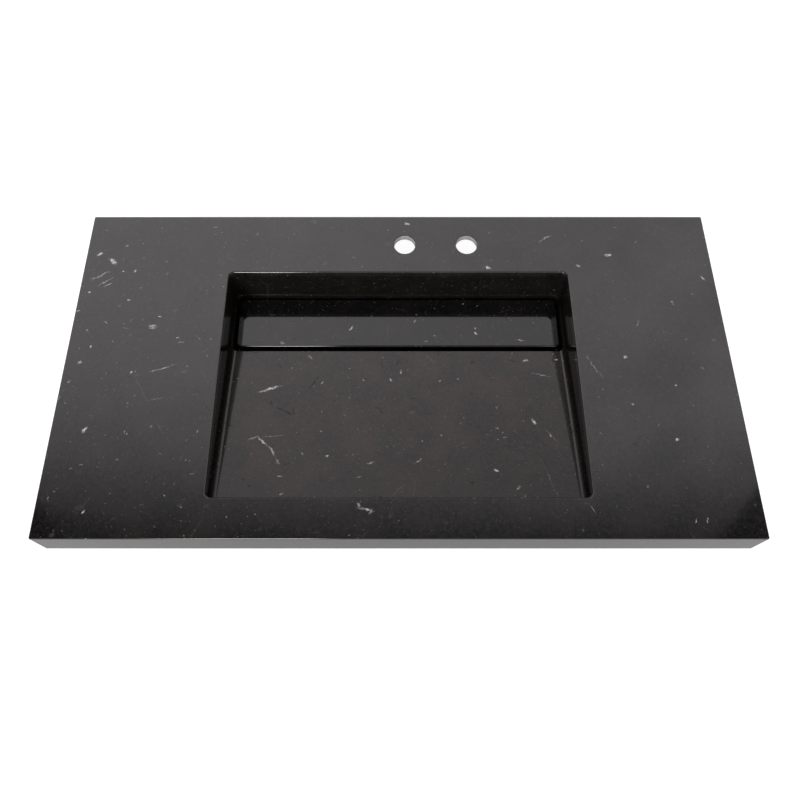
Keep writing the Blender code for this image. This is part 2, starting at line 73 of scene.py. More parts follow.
# Basin
OPENING_WIDTH = 0.546
OPENING_DEPTH = 0.366
FRONT_LEDGE = 0.058
OPENING_EASE = 0.002
CORNER_RADIUS = 0.010
COVE_RADIUS = 0.008
BOWL_WALL = 0.010
BOWL_REACH = 0.022
FLANGE_THICKNESS = 0.008
FRONT_WALL_DEPTH = 0.035
RAMP_FALL = 0.042

# Drain trough
TROUGH_INSET = 0.0018
TROUGH_LENGTH = 0.101
TROUGH_DROP = 0.024
TROUGH_FLOOR_FALL = 0.004
TROUGH_COVE_SHARE = 0.7
TROUGH_LIP_EASE = 0.0015

# Tap holes
TAP_HOLE_RADIUS = 0.0175
TAP_HOLE_SPACING = 0.1016
FIRST_TAP_HOLE_X = 0.011
TAP_HOLE_TO_BACK = 0.0555
TAP_HOLE_EASE = 0.001

# Drain cover
COVER_SIDE_GAP = 0.0047
COVER_FRONT_GAP = 0.008
COVER_BACK_GAP = 0.0045
COVER_DROP = 0.001
COVER_CORNER_RADIUS = 0.008
COVER_EASE = 0.002

# Drain fitting
RECESS_RADIUS = 0.0305
RECESS_DEPTH = 0.0035
DRAIN_HOLE_RADIUS = 0.022
SHANK_RADIUS = 0.0205
THROAT_RADIUS = 0.0162
GRID_LEDGE = 0.0022
THROAT_DEPTH = 0.0034
SHANK_LENGTH = 0.052
DRAIN_FLANGE_WIDTH = 0.0085
DRAIN_FLANGE_THICKNESS = 0.0022
SEAL_THICKNESS = 0.0014
THREAD_PITCH = 0.0018
THREAD_DEPTH = 0.0007
THREAD_START = 0.012
THREAD_END = 0.002
PIPE_WALL = 0.0013
PIPE_LENGTH = 0.120
PIPE_INSERTION = 0.018
PIPE_CLEARANCE = 0.0003
PIPE_BEAD_DEPTH = 0.0006
PIPE_BEAD_WIDTH = 0.003
PIPE_BEADS = (0.045, 0.055)
PIPE_LIP = 0.0004

# How fine the rounded edges are, and which finish a face gets by how its normal leans, which also decides
# where the bowl's walls get their painted shade
COVE_STEPS = 16
EASE_STEPS = 6
ROUND_STEPS = 96
ARRIS = 0.0006
RING_ARRIS = ARRIS / 2
GRID_ARRIS = ARRIS / 3
WASHER_ARRIS = ARRIS / 4
ARRIS_STEPS = 3
SHARP_ANGLE = math.radians(35)
ARRIS_ANGLE = math.radians(30)
WIDEST_ROUNDED_FACE = 0.004
SHEET_LEAN = 0.3
WALL_LEAN = 0.9
RIM_LEAN = 0.1

# Tolerances: one level, the start of a flare as a share of its ease, a cut, one point and one flat face
NEAR = 0.0003
FLARE_START_SHARE = 0.0003
CUT_WITHIN = 0.0000001
JOIN_WITHIN = 0.00003
TURN_JOIN_WITHIN = 0.000003
FLAT_ANGLE = math.radians(0.5)

# Worked out from the sizes above
DECK_UNDERSIDE = DECK_TOP - SHEET_THICKNESS
FRONT_EDGE = -SHEET_THICKNESS - BOND_GAP - RAIL_THICKNESS / 2
BACK_EDGE = FRONT_EDGE + TOP_DEPTH
OPENING_RIGHT = OPENING_WIDTH / 2
OPENING_FRONT = FRONT_EDGE + FRONT_LEDGE
OPENING_BACK = OPENING_FRONT + OPENING_DEPTH
TROUGH_RIGHT = OPENING_RIGHT - TROUGH_INSET
TROUGH_BACK = OPENING_BACK - TROUGH_INSET
TROUGH_FRONT = TROUGH_BACK - TROUGH_LENGTH
TROUGH_CORNER_RADIUS = CORNER_RADIUS - TROUGH_INSET
TROUGH_COVE_RADIUS = TROUGH_CORNER_RADIUS * TROUGH_COVE_SHARE
RAMP_END = DECK_TOP - FRONT_WALL_DEPTH - RAMP_FALL
RAMP_SLOPE = RAMP_FALL / (TROUGH_FRONT - OPENING_FRONT)
RAMP_LEVEL_START = TROUGH_FRONT + TROUGH_LIP_EASE
TROUGH_FLOOR_LOW = RAMP_END - TROUGH_DROP - TROUGH_FLOOR_FALL
BOWL_UNDERSIDE = TROUGH_FLOOR_LOW - BOWL_WALL
COVER_RIGHT = TROUGH_RIGHT - COVER_SIDE_GAP
COVER_FRONT = TROUGH_FRONT + COVER_FRONT_GAP
COVER_BACK = TROUGH_BACK - COVER_BACK_GAP
COVER_TOP = RAMP_END - COVER_DROP
DRAIN_Y = (TROUGH_FRONT + TROUGH_BACK) / 2
RECESS_FLOOR = TROUGH_FLOOR_LOW - RECESS_DEPTH
TAP_HOLE_Y = BACK_EDGE - TAP_HOLE_TO_BACK
SIDE_EDGE = TOP_WIDTH / 2 - EDGE_EASE


# Materials

# Grain and marks of the marble effect, in metres. The grain is drawn coarser than real, so that it shows
GRAIN = 0.0022
MOTTLE = 0.007
CLOUD = 0.05
SWIRL = 0.018
WOBBLE = 0.006
CHIP_BREAK = 0.0028
CHIP_RAGGEDNESS = 0.0040
STREAK_BREAK = 0.0050
STREAK_RAGGEDNESS = 0.0060
STREAK_GAIN = 1.5
STREAK_LEAST = 0.3

# How much of the ground the mottle and the clouds cover, and from what share of its middle a streak shows
MOTTLE_SHARE = 0.7
CLOUD_SHARE = 0.6
STREAK_START = 0.15

# A chip's edge fades over a third of the largest radius, and the faintest has a quarter of the whiteness
CHIP_FADE = 3
CHIP_RANGE = 4

# Between which values a noise goes from nothing to its full share
EVEN = (0.3, 0.7)
SOFT = (0.35, 0.65)
FLECKED = (0.4, 0.65)
MOTTLED = (0.42, 0.62)
CLOUDED = (0.42, 0.72)
PATCHY = (0.43, 0.58)
PEAKS = (0.60, 0.68)

# The stone's dark grain, pale grain and clouds
SHEET_COLOURS = ("#070606", "#1f1e1e", "#1e1b1a")
# The cover: the sheet's colours set darker, a painted shade of the cover low in the trough
PAINTED_SHADE_COVER_COLOURS = ("#040404", "#161515", "#151312")
RAMP_COLOURS = ("#080707", "#221f1d", "#2e241e")
# The bowl's upright walls: pale grain and clouds set darker than the ramp's, a painted shade of the walls
PAINTED_SHADE_WALL_COLOURS = ("#090807", "#191815", "#171512")
CALCITE_WHITE = "#b0adaa"

# Finishes of the stone: roughness, IOR, colours, how strong the chips are at the left and the right end, and
# the fissures' depth. The darker colours of the cover and of the bowl's upright walls are painted shade. A
# finish that mirrors less has a lower IOR, as fine scratches break its polish
STONES = {
    "polished_black_marble_effect_sheet": (0.05, 1.49, SHEET_COLOURS, 1.4, 0.6, 0.00006),
    "honed_black_marble_effect_edge": (0.2, 1.148, SHEET_COLOURS, 1.4, 0.6, 0.00006),
    # The cover, whose darker colours are painted shade
    "polished_black_marble_effect_cover_with_painted_shade": (0.05, 1.45, PAINTED_SHADE_COVER_COLOURS, 1.5, 1.5, 0.0001),
    "hand_polished_black_marble_effect_ramp": (0.08, 1.34, RAMP_COLOURS, 1.5, 1.5, 0.00016),
    # The bowl's upright walls, whose darker colours are painted shade
    "black_marble_effect_wall_with_painted_shade": (0.12, 1.17, PAINTED_SHADE_WALL_COLOURS, 1.0, 1.0, 0.0001),
}

# White chips: spacing, largest radius, stretch, turn in degrees, share of places that hold one, whiteness
CHIPS = (
    (0.0220, 0.0050, 1.6, 15, 0.45, 0.035),
    (0.0280, 0.0024, 2.2, 28, 0.20, 0.48),
    (0.0140, 0.0015, 3.0, 65, 0.33, 0.36),
    (0.0120, 0.0013, 3.2, 12, 0.36, 0.32),
    (0.0090, 0.0013, 1.7, -35, 0.55, 0.27),
    (0.0062, 0.0010, 1.3, 10, 0.66, 0.20),
    (0.0040, 0.0009, 1.2, 50, 0.80, 0.13),
)
FINE_CHIPS = CHIPS[-3:]

# Hairlines: spacing, half width, size of the patches that hold them, whiteness
HAIRLINES = (
    (0.130, 0.00030, 0.050, 0.10),
    (0.042, 0.00022, 0.016, 0.055),
)

# Fissures: spacing, half width, size of the patches that hold them, share of the depth that they reach
FISSURES = (0.055, 0.0006, 0.030, 1.0)

# Calcite streaks and larger chips: place in X and from the front edge, length, width, turn in degrees,
# and whiteness
STREAKS = (
    (-0.198, 0.255, 0.050, 0.0050, 20, 1.0),
    (-0.216, 0.168, 0.022, 0.0042, 19, 0.9),
    (-0.200, 0.163, 0.030, 0.0042, -44, 0.9),
    (-0.184, 0.147, 0.028, 0.0044, -52, 0.8),
    (-0.174, 0.130, 0.022, 0.0036, -65, 0.5),
    (-0.184, 0.172, 0.056, 0.0018, 4, 0.45),
    (0.238, 0.174, 0.052, 0.0018, -52, 0.4),
    (0.215, 0.197, 0.016, 0.0060, -50, 0.9),
    (0.230, 0.098, 0.090, 0.0018, -74, 0.4),
    (0.236, 0.281, 0.046, 0.0024, -14, 0.55),
    (0.213, 0.308, 0.012, 0.0060, 20, 0.9),
    (0.151, 0.116, 0.013, 0.0056, -20, 0.9),
    (0.181, 0.088, 0.016, 0.0050, 40, 0.6),
    (0.035, 0.131, 0.020, 0.0042, 35, 0.6),
    (-0.035, 0.128, 0.020, 0.0040, 10, 0.8),
    (-0.136, 0.314, 0.013, 0.0056, -40, 0.8),
    (-0.072, 0.370, 0.016, 0.0044, 45, 0.8),
    (0.136, 0.359, 0.006, 0.0060, 0, 0.9),
    (-0.458, 0.451, 0.024, 0.0100, -35, 0.9),
    (-0.481, 0.465, 0.014, 0.0060, 30, 0.8),
    (-0.474, 0.424, 0.050, 0.0034, 32, 0.6),
    (-0.464, 0.412, 0.044, 0.0030, 34, 0.5),
    (-0.351, 0.262, 0.054, 0.0028, 17, 0.7),
    (-0.355, 0.211, 0.044, 0.0016, 11, 0.4),
    (-0.453, 0.164, 0.014, 0.0060, 60, 0.9),
    (-0.434, 0.043, 0.010, 0.0040, 60, 0.8),
    (-0.041, 0.047, 0.034, 0.0042, -12, 0.8),
    (-0.033, 0.044, 0.013, 0.0060, 50, 0.8),
    (-0.050, 0.053, 0.014, 0.0030, -60, 0.6),
    (-0.376, 0.330, 0.014, 0.0060, 0, 0.9),
    (0.303, 0.265, 0.062, 0.0018, -61, 0.5),
    (0.274, 0.049, 0.030, 0.0018, -53, 0.45),
    (0.151, 0.440, 0.014, 0.0064, -20, 0.9),
    (0.348, 0.463, 0.014, 0.0080, 0, 1.0),
    (0.022, 0.524, 0.014, 0.0070, -20, 0.9),
    (0.248, 0.495, 0.038, 0.0036, 36, 0.5),
    (0.353, 0.279, 0.007, 0.0070, 0, 1.0),
    (0.353, 0.204, 0.006, 0.0060, 0, 0.9),
    (0.410, 0.148, 0.006, 0.0060, 0, 0.9),
    (0.422, 0.233, 0.005, 0.0050, 0, 0.8),
    (0.416, 0.031, 0.011, 0.0036, 70, 0.8),
    (0.433, 0.031, 0.011, 0.0036, 70, 0.8),
    (0.496, 0.419, 0.016, 0.0056, -50, 0.7),
    (0.440, 0.375, 0.013, 0.0036, -60, 0.5),
    (0.381, 0.338, 0.022, 0.0044, 60, 0.4),
    (-0.439, 0.481, 0.010, 0.0047, 30, 0.6),
    (-0.418, 0.433, 0.010, 0.0038, 50, 0.7),
    (-0.437, 0.433, 0.005, 0.0038, 0, 0.7),
    (-0.480, 0.421, 0.029, 0.0028, 12, 0.45),
    (-0.459, 0.406, 0.024, 0.0028, 35, 0.6),
    (-0.485, 0.394, 0.005, 0.0047, 0, 0.7),
    (-0.420, 0.381, 0.007, 0.0057, 0, 1.0),
    (-0.497, 0.359, 0.010, 0.0038, 0, 0.6),
    (-0.451, 0.340, 0.010, 0.0038, -30, 0.6),
    (-0.418, 0.329, 0.020, 0.0028, -10, 0.35),
    (-0.411, 0.343, 0.015, 0.0024, 50, 0.45),
    (-0.376, 0.333, 0.018, 0.0047, -12, 0.9),
    (-0.368, 0.350, 0.007, 0.0038, 0, 0.8),
    (-0.477, 0.326, 0.005, 0.0038, 0, 0.7),
    (-0.467, 0.298, 0.005, 0.0057, 0, 0.8),
    (-0.479, 0.271, 0.008, 0.0047, 30, 0.9),
    (-0.398, 0.256, 0.005, 0.0057, -40, 0.9),
    (-0.335, 0.313, 0.008, 0.0038, 0, 0.8),
    (-0.328, 0.305, 0.013, 0.0028, 15, 0.8),
    (-0.489, 0.241, 0.008, 0.0028, 40, 0.8),
    (-0.281, 0.425, 0.005, 0.0047, 0, 0.6),
    (-0.356, 0.169, 0.008, 0.0047, 40, 0.8),
    (0.297, 0.442, 0.009, 0.0057, -30, 0.6),
    (0.467, 0.262, 0.009, 0.0047, -40, 0.35),
    (0.358, 0.080, 0.009, 0.0038, 30, 0.5),
    (-0.101, 0.139, 0.008, 0.0047, 0, 0.8),
    (-0.169, 0.107, 0.010, 0.0047, 0, 0.7),
    (-0.005, 0.271, 0.008, 0.0047, -60, 0.8),
    (0.011, 0.286, 0.005, 0.0085, 0, 0.7),
    (0.264, 0.311, 0.007, 0.0057, 0, 0.7),
    (0.101, 0.273, 0.007, 0.0038, 0, 0.6),
    (0.156, 0.185, 0.007, 0.0047, 0, 0.6),
    (0.071, 0.173, 0.005, 0.0047, 0, 0.5),
    (-0.185, 0.341, 0.011, 0.0057, -50, 0.7),
    (0.209, 0.347, 0.013, 0.0028, 0, 0.7),
    (0.135, 0.369, 0.007, 0.0057, 0, 0.8),
)

# Plywood, rubber, fibre, chrome, and drilled and unpolished stone: sizes in metres
PLY_PAIR = 0.0028
WOOD_GRAIN = 0.0012
WOOD_GRAIN_LENGTH = 0.05
WOOD_RELIEF = 0.0003
RUBBER_TEXTURE = 0.0004
DIMPLE_DEPTH = 0.0001
FIBRE_FLECK = 0.0007
POLISHING_MARKS = 0.004
DRILL_RINGS = (0.004, 0.004, 0.0007)
PIT_DEPTH = 0.0002

# The wave between two plies: its turn for each unit, where the darker ply starts and ends, and its share
WAVE_TURNS = 20
PLY_BOUNDS = (0.35, 0.65)
PLY_SHARE = 0.8

# The chrome's least and most roughness
CHROME_HAZE = (0.05, 0.14)

# Sockets of a Mix node: its colours and their mix, and its numbers
MIX_FIRST = 6
MIX_SECOND = 7
MIX_RESULT = 2
MIX_FIRST_NUMBER = 2
MIX_SECOND_NUMBER = 3


def linear(hex_colour):
    """An sRGB hex colour as linear RGBA."""
    parts = [int(hex_colour[i : i + 2], 16) / 255 for i in (1, 3, 5)]
    return [c / 12.92 if c <= 0.04045 else ((c + 0.055) / 1.055) ** 2.4 for c in parts] + [1]


def add_node(tree, kind, inputs, **settings):
    """Adds a node with its settings. An input is a value, an output, or a node for its first output."""
    node = tree.nodes.new(kind)
    for key, value in settings.items():
        setattr(node, key, value)
    for key, value in inputs.items():
        if isinstance(value, bpy.types.Node):
            value = value.outputs[0]
        if isinstance(value, bpy.types.NodeSocket):
            tree.links.new(value, node.inputs[key])
        else:
            node.inputs[key].default_value = value
    return node


def new_material(name, colour, roughness, metallic=0.0):
    """A material with its shader, and the piece's own coordinates for its patterns."""
    material = bpy.data.materials.new(name)
    material.use_nodes = True
    tree = material.node_tree
    shader = tree.nodes["Principled BSDF"]
    shader.inputs["Base Color"].default_value = linear(colour)
    shader.inputs["Roughness"].default_value = roughness
    shader.inputs["Metallic"].default_value = metallic
    place = add_node(tree, "ShaderNodeTexCoord", {}).outputs["Object"]
    return material, tree, shader, place


def colour_in_layers(tree, shader, ground, layers):
    """Colours a surface: a ground colour, and layers over it that each have a share and a colour."""
    colour = linear(ground)
    for share, over in layers:
        inputs = {"Factor": share, MIX_FIRST: colour, MIX_SECOND: linear(over)}
        colour = add_node(tree, "ShaderNodeMix", inputs, data_type="RGBA").outputs[MIX_RESULT]
    tree.links.new(colour, shader.inputs["Base Color"])


def texture_patches(tree, place, size, low, high, detail=2.0, least=0.0, most=1.0):
    """Soft patches of about this size: the least where a noise is low, and the most where it is high."""
    noise = add_node(tree, "ShaderNodeTexNoise", {"Vector": place, "Scale": 1 / size, "Detail": detail})
    inputs = {"Value": noise, "From Min": low, "From Max": high, "To Min": least, "To Max": most}
    return add_node(tree, "ShaderNodeMapRange", inputs)


def pushed_about(tree, place, swirl, amount):
    """Coordinates moved by up to the amount, in swirls of the given size."""
    push = add_node(tree, "ShaderNodeTexNoise", {"Vector": place, "Scale": 1 / swirl, "Detail": 2.0})
    inputs = {0: push.outputs["Color"], 1: (amount, amount, amount), 2: place}
    return add_node(tree, "ShaderNodeVectorMath", inputs, operation="MULTIPLY_ADD").outputs["Vector"]


def white_chips(tree, place, spacing, largest, stretch, turn, chance, whiteness):
    """Whiteness of scattered chips, each of its own size and shade."""
    inputs = {
        "Vector": place,
        "Rotation": (0, 0, math.radians(turn)),
        "Scale": (spacing * stretch, spacing, spacing),
    }
    cells = add_node(tree, "ShaderNodeMapping", inputs, vector_type="TEXTURE")
    chip = add_node(tree, "ShaderNodeTexVoronoi", {"Vector": cells, "Scale": 1.0})
    luck = add_node(tree, "ShaderNodeSeparateColor", {"Color": chip.outputs["Color"]})
    inputs = {"Value": luck.outputs["Red"], "From Min": 1 - chance, "To Max": largest / spacing}
    radius = add_node(tree, "ShaderNodeMapRange", inputs)
    inputs = {0: radius, 1: chip.outputs["Distance"]}
    inside = add_node(tree, "ShaderNodeMath", inputs, operation="SUBTRACT")
    mask = add_node(tree, "ShaderNodeMapRange", {"Value": inside, "From Max": largest / spacing / CHIP_FADE})
    inputs = {"Value": luck.outputs["Green"], "To Min": whiteness / CHIP_RANGE, "To Max": whiteness}
    shade_of_chip = add_node(tree, "ShaderNodeMapRange", inputs)
    return add_node(tree, "ShaderNodeMath", {0: mask, 1: shade_of_chip}, operation="MULTIPLY")


def hairlines(tree, place, spacing, half_width, patch, whiteness):
    """Whiteness of thin broken lines, where slanting planes cross the surface."""
    inputs = {"Vector": place, "Scale": 1 / spacing}
    planes = add_node(tree, "ShaderNodeTexVoronoi", inputs, feature="DISTANCE_TO_EDGE")
    inputs = {"Value": planes, "From Max": half_width / spacing, "To Min": whiteness, "To Max": 0}
    line = add_node(tree, "ShaderNodeMapRange", inputs)
    broken = texture_patches(tree, place, patch, *PEAKS)
    return add_node(tree, "ShaderNodeMath", {0: line, 1: broken}, operation="MULTIPLY")


def calcite_streak(tree, place, x, from_front, length, width, turn, whiteness):
    """Whiteness of one tapering streak."""
    inputs = {
        "Vector": place,
        "Location": (x, FRONT_EDGE + from_front, 0),
        "Rotation": (0, 0, math.radians(turn)),
        "Scale": (length / 2, width / 2, 1),
    }
    local = add_node(tree, "ShaderNodeMapping", inputs, vector_type="TEXTURE")
    ball = add_node(tree, "ShaderNodeTexGradient", {"Vector": local}, gradient_type="SPHERICAL")
    inputs = {0: ball.outputs["Fac"], 1: whiteness * STREAK_GAIN}
    return add_node(tree, "ShaderNodeMath", inputs, operation="MULTIPLY")


def whitest_of(tree, layers):
    """The whitest of several layers at each place."""
    whitest = layers[0]
    for layer in layers[1:]:
        whitest = add_node(tree, "ShaderNodeMath", {0: whitest, 1: layer}, operation="MAXIMUM")
    return whitest


def marble_effect(name):
    """Cast stone sheet: black resin and ground stone with white marble chips, diamond-polished.

    The polish mirrors the room like dark glass, over a charcoal grain. The chips and calcite streaks lie in
    the surface and stay white where nothing is mirrored. Fine fissures break the mirror with dark hairs.
    """
    roughness, ior, (dark, pale, cloud), chips_left, chips_right, fissure_depth = STONES[name]
    material, tree, shader, place = new_material(name, pale, roughness)
    shader.inputs["IOR"].default_value = ior
    swirled = pushed_about(tree, place, SWIRL, WOBBLE)
    ragged = pushed_about(tree, place, CHIP_BREAK, CHIP_RAGGEDNESS)
    torn = pushed_about(tree, swirled, STREAK_BREAK, STREAK_RAGGEDNESS)

    grain = texture_patches(tree, place, GRAIN, *SOFT)
    mottle = texture_patches(tree, place, MOTTLE, *MOTTLED, detail=4.0, most=MOTTLE_SHARE)
    clouds = texture_patches(tree, place, CLOUD, *CLOUDED, detail=4.0, most=CLOUD_SHARE)

    streaks = whitest_of(tree, [calcite_streak(tree, torn, *one) for one in STREAKS])
    solid = add_node(tree, "ShaderNodeMapRange", {"Value": streaks, "From Min": STREAK_START})
    patchy = texture_patches(tree, place, STREAK_BREAK, *PATCHY, detail=3.0, least=STREAK_LEAST)
    broken = add_node(tree, "ShaderNodeMath", {0: solid, 1: patchy}, operation="MULTIPLY")
    chips = [white_chips(tree, ragged, *layer) for layer in CHIPS]
    chips += [hairlines(tree, swirled, *layer) for layer in HAIRLINES]
    across = add_node(tree, "ShaderNodeSeparateXYZ", {"Vector": place})
    inputs = {
        "Value": across.outputs["X"],
        "From Min": -TOP_WIDTH / 2,
        "From Max": TOP_WIDTH / 2,
        "To Min": chips_left,
        "To Max": chips_right,
    }
    thinning = add_node(tree, "ShaderNodeMapRange", inputs)
    inputs = {0: whitest_of(tree, chips), 1: thinning}
    scattered = add_node(tree, "ShaderNodeMath", inputs, operation="MULTIPLY")
    white = whitest_of(tree, [scattered, broken])
    layers = [(grain, pale), (mottle, dark), (clouds, cloud), (white, CALCITE_WHITE)]
    colour_in_layers(tree, shader, dark, layers)
    fissures = hairlines(tree, torn, *FISSURES)
    inputs = {"Height": fissures, "Strength": 1.0, "Distance": fissure_depth}
    grooves = add_node(tree, "ShaderNodeBump", inputs, invert=True)
    tree.links.new(grooves.outputs["Normal"], shader.inputs["Normal"])
    return material


def unpolished_stone(name):
    """Cast stone as it leaves the mould, where nobody sees it: dull charcoal, half-buried pale chips."""
    material, tree, shader, place = new_material(name, "#232221", roughness=0.6)
    grain = texture_patches(tree, place, GRAIN, *SOFT)
    ragged = pushed_about(tree, place, CHIP_BREAK, CHIP_RAGGEDNESS)
    pale = whitest_of(tree, [white_chips(tree, ragged, *layer) for layer in FINE_CHIPS])
    colour_in_layers(tree, shader, "#1b1a1a", [(grain, "#2b2a29"), (pale, "#8d8a86")])
    pits = add_node(tree, "ShaderNodeBump", {"Height": grain, "Strength": 0.2, "Distance": PIT_DEPTH})
    tree.links.new(pits.outputs["Normal"], shader.inputs["Normal"])
    return material


def drilled_stone(name):
    """Cast stone, cored with a wet diamond drill: a dull light grey with fine rings, left unpolished."""
    material, tree, shader, place = new_material(name, "#898988", roughness=0.7)
    inputs = {"Vector": place, "Scale": DRILL_RINGS}
    rings = add_node(tree, "ShaderNodeMapping", inputs, vector_type="TEXTURE")
    ground = texture_patches(tree, rings.outputs["Vector"], 1.0, *SOFT)
    colour_in_layers(tree, shader, "#7c7c7b", [(ground, "#969695")])
    return material


def birch_plywood(name, thickness_axis):
    """Birch plywood, sawn: thin pale and darker plies on the edges, and fine grain along the faces."""
    material, tree, shader, place = new_material(name, "#c3a57a", roughness=0.62)
    inputs = {"Vector": place, "Scale": math.tau / WAVE_TURNS / PLY_PAIR, "Distortion": 0.0}
    plies = add_node(tree, "ShaderNodeTexWave", inputs, bands_direction=thickness_axis)
    low, high = PLY_BOUNDS
    inputs = {"Value": plies.outputs["Fac"], "From Min": low, "From Max": high, "To Max": PLY_SHARE}
    ply = add_node(tree, "ShaderNodeMapRange", inputs)
    along_x = (WOOD_GRAIN_LENGTH, WOOD_GRAIN, WOOD_GRAIN)
    along_y = (WOOD_GRAIN, WOOD_GRAIN_LENGTH, WOOD_GRAIN)
    scale = along_x if thickness_axis == "Y" else along_y
    inputs = {"Vector": place, "Scale": scale}
    stretched = add_node(tree, "ShaderNodeMapping", inputs, vector_type="TEXTURE")
    inputs = {"Vector": stretched, "Scale": 1.0, "Detail": 3.0}
    grain = add_node(tree, "ShaderNodeTexNoise", inputs)
    colour_in_layers(tree, shader, "#ad8c60", [(grain, "#d2b68c"), (ply, "#92704a")])
    fibres = add_node(tree, "ShaderNodeBump", {"Height": grain, "Strength": 0.3, "Distance": WOOD_RELIEF})
    tree.links.new(fibres.outputs["Normal"], shader.inputs["Normal"])
    return material


def moulded_rubber(name):
    """EPDM rubber, moulded: a soft dark grey with a faint matt texture and no clear highlight."""
    material, tree, shader, place = new_material(name, "#1d1d1e", roughness=0.62)
    texture = texture_patches(tree, place, RUBBER_TEXTURE, *EVEN)
    colour_in_layers(tree, shader, "#161617", [(texture, "#262627")])
    inputs = {"Height": texture, "Strength": 0.25, "Distance": DIMPLE_DEPTH}
    dimples = add_node(tree, "ShaderNodeBump", inputs)
    tree.links.new(dimples.outputs["Normal"], shader.inputs["Normal"])
    return material


def vulcanised_fibre(name):
    """Red vulcanised fibre, stamped: dull brick red with darker flecks."""
    material, tree, shader, place = new_material(name, "#8a3a2c", roughness=0.8)
    flecks = texture_patches(tree, place, FIBRE_FLECK, *FLECKED)
    colour_in_layers(tree, shader, "#97442f", [(flecks, "#6f2b20")])
    return material


def chromed_brass(name):
    """Turned brass, chrome plated: a bright cold mirror with faint haze from the polishing wheel."""
    material, tree, shader, place = new_material(name, "#dcdcdd", roughness=0.08, metallic=1.0)
    clearest, haziest = CHROME_HAZE
    haze = texture_patches(tree, place, POLISHING_MARKS, *EVEN, detail=4.0, least=clearest, most=haziest)
    tree.links.new(haze.outputs["Result"], shader.inputs["Roughness"])
    return material


# Shapes


def round_off(bm, edges, radius, steps):
    """Rounds edges to this radius."""
    bm.normal_update()
    bmesh.ops.bevel(
        bm,
        geom=list(edges),
        affect="EDGES",
        offset=radius,
        segments=steps,
        profile=0.5,
        clamp_overlap=False,
        material=-1,
    )


def box_form(right, front, back, low, high, corner_radius):
    """A block about x = 0, with its upright edges rounded."""
    bm = bmesh.new()
    bmesh.ops.create_cube(bm, size=1)
    bmesh.ops.scale(bm, vec=(2 * right, back - front, high - low), verts=bm.verts)
    bmesh.ops.translate(bm, vec=(0, (front + back) / 2, (low + high) / 2), verts=bm.verts)
    upright = [e for e in bm.edges if abs(e.verts[0].co.z - e.verts[1].co.z) > (high - low) / 2]
    round_off(bm, upright, corner_radius, COVE_STEPS)
    return bm


def cylinder_form(radius, low, high, x, y):
    """An upright cylinder."""
    bm = bmesh.new()
    bmesh.ops.create_cone(
        bm,
        cap_ends=True,
        segments=ROUND_STEPS,
        radius1=radius,
        radius2=radius,
        depth=high - low,
    )
    bmesh.ops.translate(bm, vec=(x, y, (low + high) / 2), verts=bm.verts)
    return bm


def rim_of(verts):
    """The edges round a cap that is made of these vertices."""
    cap = set(verts)
    edges = {edge for vert in cap for edge in vert.link_edges if edge.other_vert(vert) in cap}
    return [edge for edge in edges if any(not cap.issuperset(face.verts) for face in edge.link_faces)]


def slice_at(bm, point, normal):
    """Cuts new edges into a form along a plane, and keeps both halves."""
    geometry = bm.verts[:] + bm.edges[:] + bm.faces[:]
    bmesh.ops.bisect_plane(bm, geom=geometry, dist=CUT_WITHIN, plane_co=point, plane_no=normal)


def lowest_of(bm, low):
    """The vertices on a form's lowest level."""
    return [vert for vert in bm.verts if vert.co.z < low + NEAR]


def ramp_height(y, below):
    """The basin's floor: it falls at an even slope to the trough, and goes level there."""
    fall = (min(y, RAMP_LEVEL_START) - TROUGH_FRONT) * RAMP_SLOPE
    return RAMP_END - fall - below * math.hypot(1, RAMP_SLOPE)


def basin_form(outset, high, cove_radius):
    """The inside of the basin as a solid, or its outer side with an outset."""
    low = BOWL_UNDERSIDE
    front, back = OPENING_FRONT - outset, OPENING_BACK + outset
    bm = box_form(OPENING_RIGHT + outset, front, back, low, high, CORNER_RADIUS + outset)
    slice_at(bm, (0, RAMP_LEVEL_START, 0), (0, 1, 0))
    floor = lowest_of(bm, low)
    for vert in floor:
        vert.co.z = ramp_height(vert.co.y, outset)
    round_off(bm, rim_of(floor), cove_radius, COVE_STEPS)
    return bm


def trough_form(outset, high, cove_radius):
    """The inside of the trough as a solid, its floor falling to the middle, or its level outer side."""
    low = TROUGH_FLOOR_LOW - outset
    front, back = TROUGH_FRONT - outset, TROUGH_BACK + outset
    bm = box_form(TROUGH_RIGHT + outset, front, back, low, high, TROUGH_CORNER_RADIUS + outset)
    if not outset:
        slice_at(bm, (0, 0, 0), (1, 0, 0))
    floor = lowest_of(bm, low)
    if not outset:
        for vert in floor:
            vert.co.z += TROUGH_FLOOR_FALL * abs(vert.co.x) / TROUGH_RIGHT
    round_off(bm, rim_of(floor), cove_radius, COVE_STEPS)
    return bm


def quarter_round(ease):
    """Heights below a rim's top, and how far out the rim reaches there."""
    for step in range(EASE_STEPS + 1):
        angle = math.pi / 2 * step / EASE_STEPS
        yield ease * (1 - math.sin(angle)), ease * (1 - math.cos(angle))


def flare(bm, rim_height, ease, spread):
    """Cuts rings below the rim's height and moves them out, so that the form leaves a rounded rim."""
    rounds = list(quarter_round(ease))
    for drop, _ in rounds:
        slice_at(bm, (0, 0, rim_height - drop), (0, 0, 1))
    for vert in bm.verts:
        rise = (vert.co.z - rim_height) / ease + 1
        if rise > FLARE_START_SHARE:
            out = ease * (1 - math.cos(math.asin(min(rise, 1))))
            vert.co.x, vert.co.y = spread(vert.co, out)
    return bm


def spread_from(x, y, half_x, half_y):
    """A move of points away from a middle, so that the half sizes about it grow by the step."""
    return lambda co, out: (
        x + (co.x - x) * (half_x + out) / half_x,
        y + (co.y - y) * (half_y + out) / half_y,
    )


